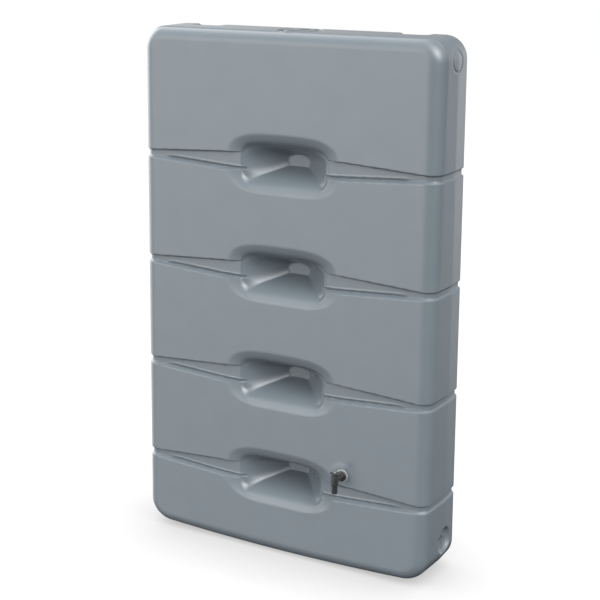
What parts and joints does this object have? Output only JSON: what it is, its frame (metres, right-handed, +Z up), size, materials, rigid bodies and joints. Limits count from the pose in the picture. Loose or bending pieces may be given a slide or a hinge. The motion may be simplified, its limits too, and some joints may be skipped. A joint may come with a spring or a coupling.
{
  "type": "rain barrel",
  "caption": "Slim upright wall rain tank in blue-grey plastic with oval kiss-off pockets, waist grooves, a screw lid in the top, side ports and a low front tap.",
  "frame": {"origin": "on the floor under the tank, on the left-right centre line, half way between the wall face and the foot of the front face", "axes": "+Z up, +Y towards the wall behind the tank, +X to the right of a person facing the front"},
  "size_m": [1, 0.2808, 1.6],
  "materials": {
    "tank": "satin blow-moulded polyethylene, blue-grey",
    "lid": "satin black",
    "rubber": "matt black",
    "tap": "semi-gloss black",
    "tap_inner": "satin black",
    "steel": "plain",
    "seal": "pale grey, matt",
    "bush": "satin blue-grey"
  },
  "bodies": {
    "tank": {"tank_shell": "tank", "tap_body": "tap", "tap_gland": "tap_inner", "tap_seal": "seal", "tap_bush": "bush", "port_bush_left": "bush", "port_bush_right": "bush"},
    "lid_seat": {"lid_gasket": "rubber"},
    "lid": {"lid": "lid"},
    "tap_valve": {"tap_plug": "tap_inner", "tap_rings": "rubber", "tap_lever": "tap", "tap_lever_screw": "steel"},
    "port_left_seat": {"port_washer_left": "rubber"},
    "port_left_plug": {"port_plug_left": "tap"},
    "port_right_seat": {"port_washer_right": "rubber"},
    "port_right_plug": {"port_plug_right": "tap"}
  },
  "joints": [
    {"name": "lid_lift", "type": "slide", "parent": "tank", "child": "lid_seat", "axis": [0, 0, 1], "range_m": [0, 0.15]},
    {"name": "lid_turn", "type": "hinge", "parent": "lid_seat", "child": "lid", "pos_m": [0, 0.023, 1.59], "axis": [0, 0, 1], "range_deg": [0, 120]},
    {"name": "tap_turn", "type": "hinge", "parent": "tank", "child": "tap_valve", "pos_m": [0.22, -0.155, 0.307], "axis": [0, 0, 1], "range_deg": [0, 90]},
    {"name": "port_left_travel", "type": "slide", "parent": "tank", "child": "port_left_seat", "axis": [-1, 0, 0], "range_m": [0, 0.0092]},
    {"name": "port_left_turn", "type": "hinge", "parent": "port_left_seat", "child": "port_left_plug", "pos_m": [-0.486, 0.023, 0.108], "axis": [-1, 0, 0], "range_deg": [0, 1800]},
    {"name": "port_right_travel", "type": "slide", "parent": "tank", "child": "port_right_seat", "axis": [1, 0, 0], "range_m": [0, 0.0092]},
    {"name": "port_right_turn", "type": "hinge", "parent": "port_right_seat", "child": "port_right_plug", "pos_m": [0.486, 0.023, 0.108], "axis": [1, 0, 0], "range_deg": [0, 1800]}
  ],
  "couplings": [
    {"joint": "port_left_travel", "follows": "port_left_turn", "m_per_rad": 0.00028871},
    {"joint": "port_right_travel", "follows": "port_right_turn", "m_per_rad": 0.00028871}
  ]
}
